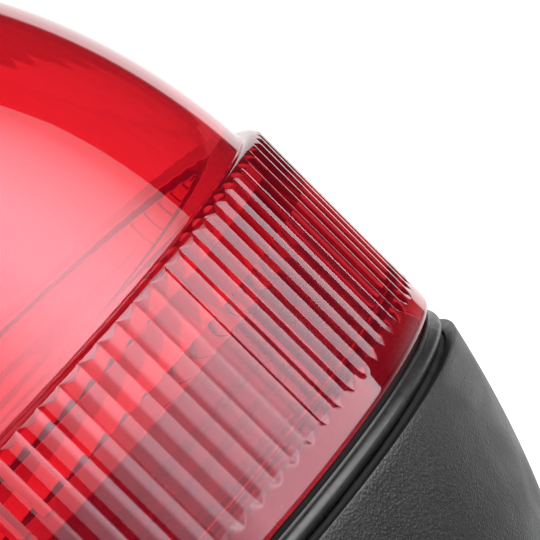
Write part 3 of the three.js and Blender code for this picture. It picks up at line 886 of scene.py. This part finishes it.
def leds():
    """Round-topped LEDs, each on one face of the column."""
    for i in range(6):
        node = f"led_{i + 1}"
        a = radians(60 * i)
        face = COLUMN_R * cos(pi / 6) + 0.3
        height = sum(corner[2] for corner in span(node)) / 2
        matrix = turn_to((cos(a), sin(a), 0), (face * cos(a), face * sin(a), height))
        dome = [(2.1 * cos(t), 1.3 + 2.1 * sin(t)) for t in (radians(9 * s) for s in range(10))]
        bm = turned([(0, 0), (2.5, 0), (2.5, 0.8), (2.1, 1.0), *dome, (0, 3.4)], 48)
        piece(node + "_lens", bm, node, matrix)


def photocell():
    low, high = span("photocell")
    centre = [(a + b) / 2 for a, b in zip(low, high)]
    height = high[2] - low[2]
    body = [(0, 0), (3, 0, 0.1), (3, height - 0.3, 0.3), (2.2, height, 0.1), (0, height)]
    matrix = Matrix.Translation((centre[0], centre[1], low[2]))
    piece("photocell_window", turned(rounded(body), 64), "photocell", matrix)


def pan_screw(node):
    """A pan head with a cross recess, over its shank."""
    low, high = span(node)
    centre = Vector(((low[0] + high[0]) / 2, (low[1] + high[1]) / 2, 0))
    head_r = (high[1] - low[1]) / 2
    head_h = head_r * 0.7
    under = high[2] - head_h
    shank_r = head_r * 0.47
    profile = [
        (0, low[2]),
        (shank_r * 0.4, low[2]),
        (shank_r, low[2] + shank_r),
        (shank_r, under, 0.1),
        (head_r, under, 0.1),
        (head_r, under + head_h * 0.45, head_h * 0.4),
        (head_r * 0.6, high[2], head_h * 0.4),
        (0, high[2]),
    ]
    matrix = Matrix.Translation(centre)
    made = piece(node + "_pan", turned(rounded(profile), 48), node, matrix)
    for wide, deep in ((0.62, 0.14), (0.14, 0.62)):
        x, y = head_r * wide, head_r * deep
        bar = prism([(-x, -y), (x, -y), (x, y), (-x, y)], high[2] - head_h * 0.6, high[2] + 1)
        carve(made, "DIFFERENCE", bar, matrix)


# ---------------------------------------------------------------- bracket and clamp

CLAMP_Z = sum(corner[2] for corner in span("clamp_screw")) / 2
TO_CLAMP = turn_to((1, 0, 0), (0, 0, CLAMP_Z))
BEND_IN = 2.0


def strap_path(steps=8):
    """Centre line of the bent strap in XZ, from one foot to the other."""
    x = LEG_OUT - STEEL_T / 2
    top = PLATE_TOP - STEEL_T / 2
    bend = BEND_IN + STEEL_T / 2
    left = [(-x, z) for z in (0.0, 0.4, 8.6, 8.9, 20, 35)]
    turn = [radians(180 - 90 * s / steps) for s in range(steps + 1)]
    corner = [(-x + bend + bend * cos(t), top - bend + bend * sin(t)) for t in turn]
    half = left + corner + [(-12, top)]
    return half + [(0, top)] + [(-px, pz) for px, pz in reversed(half)]


def saddle_bracket():
    """A flat strap bent into an upside-down U, with rounded edges and cut lower corners."""
    bm = bmesh.new()
    path = [Vector(p) for p in strap_path()]
    half_width = -PLATE_Y
    corner_cut = 8.5
    rings = []
    for i, point in enumerate(path):
        at_end = i in (0, len(path) - 1)
        ahead = path[min(i + 1, len(path) - 1)] - path[max(i - 1, 0)]
        normal = Vector((-ahead.y, ahead.x)).normalized()
        edge, inset = (0.05, 0.35) if at_end else (0.4, 0.0)
        wide = half_width - max(0.0, corner_cut - point.y) - inset
        thick = STEEL_T / 2 - inset
        corners = [(-wide, -thick, edge), (wide, -thick, edge), (wide, thick, edge), (-wide, thick, edge)]
        ring = []
        for y, t in rounded(corners):
            flat = point + normal * t
            ring.append(bm.verts.new((flat.x, y, flat.y)))
        rings.append(ring)
    stack(bm, rings)
    bm.faces.new(rings[0])
    bm.faces.new(rings[-1])
    made = piece("bracket_strap", bm, "saddle_bracket")
    screw_r = 5.6
    carve(made, "DIFFERENCE", disc(screw_r, LEG_OUT - 8, LEG_OUT + 2, 0.1, 64), TO_CLAMP)


def bolts():
    """Two hexagonal bolts and washers that hold the bracket under the foot."""
    for i in (1, 2):
        node = f"bracket_bolt_{i}"
        low, high = span(node)
        place = Matrix.Translation(((low[0] + high[0]) / 2, 0, 0))
        made = piece(node + "_hex", hex_prism(5.77, low[2], low[2] + 4, 0.5), node, place)
        carve(made, "UNION", disc(3, low[2] + 2, high[2], 0.4, 48), place)
        node = f"bracket_washer_{i}"
        low, high = span(node)
        piece(node + "_flat", washer(3.4, 6.2, low[2], high[2], 0.2, 64), node, place)


def foot_gasket():
    low, high = span("foot_gasket")
    piece("foot_gasket_pad", disc(high[0], low[2], high[2], 0.4, 128), "foot_gasket")


def jaw_pad():
    """A ribbed rubber pad on the fixed leg."""
    (x0, y0, z0), (x1, y1, z1) = span("jaw_pad")
    half, bottom = 0.8, x1 - 0.8
    outline = [(x0, y0), (x1, y0)]
    for y in (-12, -4, 4, 12):
        outline += [(x1, y - half), (bottom, y - half), (bottom, y + half), (x1, y + half)]
    outline += [(x1, y1), (x0, y1)]
    made = piece("jaw_pad_ribs", prism(outline, z0, z1), "jaw_pad")
    softened(made, 0.3)


def clamp_screw():
    """A threaded rod with a plain neck, lying along X."""
    (x0, _, _), (x1, radius, _) = span("clamp_screw")
    bm = bmesh.new()
    count, pitch, root = 48, 3.0, radius - 1.1
    angles = even(count)
    neck_r, neck = 3.6, 3.4
    start, end = x0 + neck + 2.2, x1 - 0.6
    turns = int((end - start - pitch) / pitch * count)
    front = [(neck_r, x0, 0.3), (neck_r, x0 + neck - 0.8, 0.2), (root, x0 + neck, 0.2), (root, start - 0.4)]
    back = [(root, end + 0.2), (root, x1, 0.4)]
    low = [loop(bm, angles, r, z) for r, z in rounded(front)]
    high = [loop(bm, angles, r, z) for r, z in rounded(back + [(0, x1)])[:-1]]
    stack(bm, [pole(bm, x0)] + low)
    stack(bm, high + [pole(bm, x1)])
    threaded_wall(bm, angles, root, radius - root, pitch, turns, start + pitch / 2, 0, low[-1], high[0])
    piece("clamp_screw_rod", bm, "clamp_screw", TO_CLAMP)


def clamp_nut():
    (x0, _, _), (x1, _, _) = span("clamp_nut")
    piece("clamp_nut_hex", hex_prism(8.5, x0, x1, 0.8, bore=5.3), "clamp_nut", TO_CLAMP)


def clamp_pad():
    """A swivel disc with a socket for the screw, and a rubber facing with round grooves."""
    (x0, _, _), (x1, _, _) = span("clamp_pad")
    pad = [(0, x0), (13, x0, 0.3), (13, x0 + 2.4, 0.7), (7.5, x0 + 2.8, 0.8)]
    pad += [(7, x1, 0.5), (4, x1, 0.3), (4, x1 - 3.2, 0.2), (0, x1 - 3.2)]
    piece("clamp_pad_disc", turned(rounded(pad), 128), "clamp_pad", TO_CLAMP)
    (x0, _, _), (x1, _, _) = span("pad_facing")
    facing = [(0, x1), (12.4, x1, 0.2), (12.4, x0, 0.4)]
    for r in (10.5, 8.3, 6.1, 3.9):
        facing += [(r + 0.45, x0, 0.1), (r, x0 + 0.7, 0.1), (r - 0.45, x0, 0.1)]
    piece("pad_facing_disc", turned(rounded(facing + [(0, x0)]), 128), "pad_facing", TO_CLAMP)


def clamp_knob():
    """Five round lobes, a domed outer face, and a recess that clears the nut."""
    (x0, _, _), (x1, _, _) = span("clamp_knob")
    recess_r, lobe_r, edge = 10.2, 17, 1.6
    body = [
        (5.2, x0 + 7.5, 0.2),
        (recess_r, x0 + 7.5, 0.5),
        (recess_r, x0, 0.4),
        (lobe_r, x0, edge),
        (lobe_r, x1 - 0.6, edge),
        (11, x1, 2.5),
        (6.5, x1, 0.4),
        (6.2, x1 - 0.5, 0.2),
        (5.2, x1 - 0.5, 0.2),
    ]

    def lobed(r, a):
        share = max(0.0, (r - recess_r) / (lobe_r - recess_r))
        return r - share * 1.8 * (1 - cos(5 * a))

    knob = turned(rounded(body, 5), 240, lobed)
    piece("clamp_knob_star", knob, "clamp_knob", TO_CLAMP)


# ---------------------------------------------------------------- studio

# Metres and degrees. Azimuths are counted from the camera towards +X. Light levels are radiances.
FOCAL_LENGTH = 351  # millimetres
CAMERA_DISTANCE = 0.76
CAMERA_ELEVATION = 5.96
CAMERA_ROLL = 45.16
AIM = Vector((56.94, 0, FLANGE_Z + 18.93)) * MM
BACKDROP = 1.7
REFLECTED_BACKDROP = 1.2
REFLECTED_BACKDROP_EDGE = (27, 24)  # either side of +Y, where it starts and where it is full
DIM = 0.03
SOFTBOX = 8.8
SOFTBOX_NEAR = (0.75, 13)  # distance and azimuth
SOFTBOX_FAR = (0.64, 102.5)
SOFTBOX_LOW, SOFTBOX_HIGH = 0.01, 0.8
# Share of the softbox's light from its near to its far end, in its lower and its upper part.
LOW_SPREAD = [(0.0, 0.2), (0.36, 0.22), (0.48, 0.62), (1.0, 0.58)]
HIGH_SPREAD = [(0.0, 0.2), (0.3, 0.46), (0.44, 0.85), (0.54, 1.0), (0.64, 0.92), (0.83, 0.48), (0.95, 0.2)]
UPPER_PART = (0.1, 0.17)  # heights between which the lower spread gives way to the upper one
FLOOR_HALF = 12


def camera():
    """A long lens from the side of the lamp, tipped so that the lamp's top leans to the left."""
    elevation = radians(CAMERA_ELEVATION)
    back = Vector((0, -cos(elevation), sin(elevation)))
    level = Vector((1, 0, 0))
    up = back.cross(level)
    roll = radians(-CAMERA_ROLL)
    right = level * cos(roll) + up * sin(roll)
    top = up * cos(roll) - level * sin(roll)
    data = bpy.data.cameras.new("camera")
    data.lens = FOCAL_LENGTH
    data.clip_end = 50
    made = bpy.data.objects.new("camera", data)
    axes = Matrix((right, top, back)).transposed().to_4x4()
    made.matrix_world = Matrix.Translation(AIM + back * CAMERA_DISTANCE) @ axes
    bpy.context.scene.collection.objects.link(made)
    bpy.context.scene.camera = made


def polar_point(distance, azimuth):
    """A point of the floor plan."""
    a = radians(azimuth)
    return Vector((distance * sin(a), -distance * cos(a), 0))


def softbox():
    """An upright light panel between two points of the floor plan, shining towards the lamp."""
    a, b = polar_point(*SOFTBOX_NEAR), polar_point(*SOFTBOX_FAR)
    width, height = (b - a).length, SOFTBOX_HIGH - SOFTBOX_LOW
    data = bpy.data.lights.new("softbox", "AREA")
    data.shape = "RECTANGLE"
    data.size = width
    data.size_y = height
    data.energy = SOFTBOX * pi * width * height
    shade_softbox(data, a, (b - a) / width**2)
    made = bpy.data.objects.new("softbox", data)
    centre = (a + b) / 2 + Vector((0, 0, (SOFTBOX_LOW + SOFTBOX_HIGH) / 2))
    along = (b - a).normalized()
    up = Vector((0, 0, 1))
    axes = Matrix((along, up, along.cross(up))).transposed().to_4x4()
    made.matrix_world = Matrix.Translation(centre) @ axes
    made.visible_camera = False
    bpy.context.scene.collection.objects.link(made)


def shade_softbox(data, start, along):
    """Uneven light over the panel, from its two spreads of (place, share)."""
    data.use_nodes = True
    tree = data.node_tree
    position = add_node(tree, "NewGeometry").outputs["Position"]
    moved = add_node(tree, "VectorMath", {0: position, 1: start}, operation="SUBTRACT").outputs[0]
    place = add_node(tree, "VectorMath", {0: moved, 1: along}, operation="DOT_PRODUCT").outputs["Value"]
    height = add_node(tree, "SeparateXYZ", {0: position}).outputs["Z"]
    limits = {"Value": height, "From Min": UPPER_PART[0], "From Max": UPPER_PART[1]}
    mix = add_node(tree, "Mix", {0: add_node(tree, "MapRange", limits).outputs[0]})
    for socket, spread in ((2, LOW_SPREAD), (3, HIGH_SPREAD)):
        ramp = add_node(tree, "ValToRGB", {0: place})
        marks = ramp.color_ramp.elements
        while len(marks) < len(spread):
            marks.new(0.5)
        for mark, (at, share) in zip(marks, spread):
            mark.position = at
            mark.color = (share, share, share, 1)
        connect(tree, mix.inputs[socket], ramp.outputs["Color"])
    connect(tree, tree.nodes["Emission"].inputs["Strength"], mix.outputs[0])


def backdrop():
    """A white world. Its reflections are dark at the sides, as in a studio with black flags."""
    world = bpy.data.worlds.new("studio")
    world.use_nodes = True
    bpy.context.scene.world = world
    tree = world.node_tree
    paths = add_node(tree, "LightPath").outputs
    towards = add_node(tree, "TexCoord").outputs["Generated"]
    direction = add_node(tree, "SeparateXYZ", {0: towards}).outputs

    def part(axis, start, end, level):
        """Zero up to the start of this share of an axis, and the level past its end."""
        inputs = {"Value": direction[axis], "From Min": start, "From Max": end, "To Max": level}
        return add_node(tree, "MapRange", inputs, interpolation_type="SMOOTHSTEP").outputs[0]

    def joined(operation, first, second):
        return add_node(tree, "Math", {0: first, 1: second}, operation=operation).outputs[0]

    edge = [cos(radians(a)) for a in REFLECTED_BACKDROP_EDGE]
    behind = part("Y", *edge, REFLECTED_BACKDROP)
    above = part("Z", 0.9, 0.97, 0.8)
    floor_in_front = part("Z", -0.14, -0.34, 0.3)
    floor_behind = joined("MULTIPLY", part("Z", -0.12, -0.24, 1.2), part("Y", 0.3, 0.8, 1.0))
    level = DIM
    for bright in (behind, above, floor_in_front, floor_behind):
        level = joined("MAXIMUM", level, bright)
    # Through the lens, the backdrop is darker above this height.
    upper = joined("MULTIPLY", paths["Is Transmission Ray"], part("Z", -0.048, -0.043, 0.5))
    level = joined("MAXIMUM", joined("SUBTRACT", level, upper), DIM)
    direct = joined("MAXIMUM", paths["Is Camera Ray"], paths["Is Diffuse Ray"])
    strength = add_node(tree, "Mix", {0: direct, 2: level, 3: BACKDROP}).outputs[0]
    background = tree.nodes["Background"].inputs
    connect(tree, background["Strength"], strength)
    connect(tree, background["Color"], (1, 1, 1))


def floor():
    bm = bmesh.new()
    half = FLOOR_HALF / MM
    corners = ((-half, -half), (half, -half), (half, half), (-half, half))
    bm.faces.new([bm.verts.new((x, y, 0)) for x, y in corners])
    g = Graph("floor_paper", Specular_IOR_Level=0.2)
    grain = g.noise(30, 3)
    g.set("Base Color", g.mix(g.level(grain, 0, 1), (0.83, 0.83, 0.83), (0.86, 0.86, 0.86)))
    g.set("Roughness", g.level(grain, 0.7, 0.8))
    made = bpy.data.objects.new("floor", mesh_of("floor", bm))
    made.data.materials.append(g.material)
    made.visible_glossy = False
    bpy.context.scene.collection.objects.link(made)


def studio():
    bpy.context.scene.view_settings.view_transform = "Standard"
    camera()
    backdrop()
    floor()
    softbox()


# ---------------------------------------------------------------- the lamp

for node, shown in frame["nodes"].items():
    for material_slot in shown.material_slots:
        material_slot.material = MATERIALS[SLOT_OF[node]]

studio()
lens_dome()
collar()
seals()
housing()
switch()
reflector()
light_column()
leds()
photocell()
for screw in [n for n in frame["nodes"] if n.startswith(("collar_screw", "reflector_screw"))]:
    pan_screw(screw)
saddle_bracket()
bolts()
foot_gasket()
jaw_pad()
clamp_screw()
clamp_nut()
clamp_knob()
clamp_pad()
